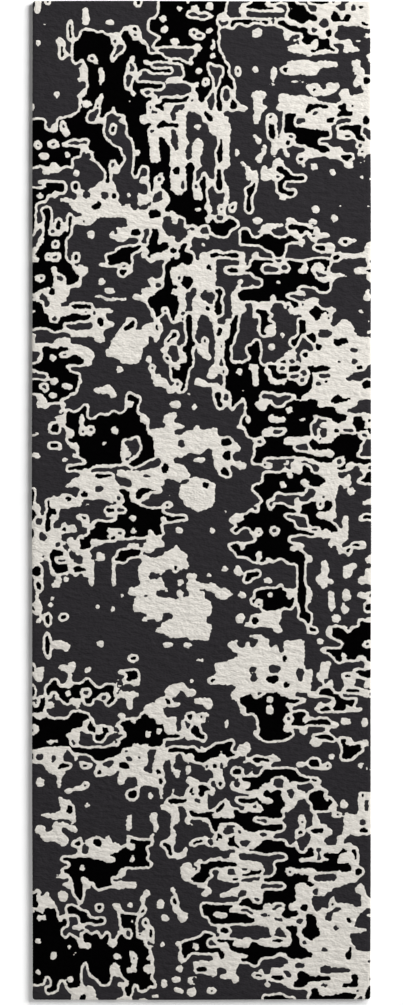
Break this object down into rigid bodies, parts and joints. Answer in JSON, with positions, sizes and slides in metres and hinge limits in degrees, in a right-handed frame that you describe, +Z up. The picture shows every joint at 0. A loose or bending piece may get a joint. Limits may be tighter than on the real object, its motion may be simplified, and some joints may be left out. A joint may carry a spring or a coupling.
{
  "type": "runner rug",
  "caption": "Long narrow cut-pile rug with square corners, turned-under hems, closed cloth back and tape-bound underside; lies flat.",
  "frame": {"origin": "middle of the footprint, on the floor under the binding tapes", "axes": "+Y along the runner towards its head end, +X across it, +Z up out of the pile"},
  "size_m": [0.815, 2.4, 0.0154],
  "materials": {
    "pile_ivory": "matte cut pile",
    "pile_charcoal": "matte cut pile",
    "pile_black": "matte cut pile",
    "primary_cloth": "plain woven",
    "latex": "satin",
    "scrim": "open net",
    "backing_cloth": "plain woven",
    "binding_tape": "twill woven",
    "sewing_thread": "twisted thread",
    "care_label": "satin woven"
  },
  "bodies": {
    "root": {"cut_pile": "pile_charcoal", "primary_cloth": "primary_cloth", "tuft_lock_latex": "latex", "scrim": "scrim", "backing_adhesive": "latex", "backing_cloth": "backing_cloth", "right_hem": "primary_cloth", "head_hem": "primary_cloth", "left_hem": "primary_cloth", "foot_hem": "primary_cloth", "right_tape": "binding_tape", "head_tape": "binding_tape", "left_tape": "binding_tape", "foot_tape": "binding_tape", "right_outer_seam": "sewing_thread", "head_outer_seam": "sewing_thread", "left_outer_seam": "sewing_thread", "foot_outer_seam": "sewing_thread", "right_inner_seam": "sewing_thread", "head_inner_seam": "sewing_thread", "left_inner_seam": "sewing_thread", "foot_inner_seam": "sewing_thread", "care_label": "care_label", "label_seam": "sewing_thread"}
  },
  "joints": []
}
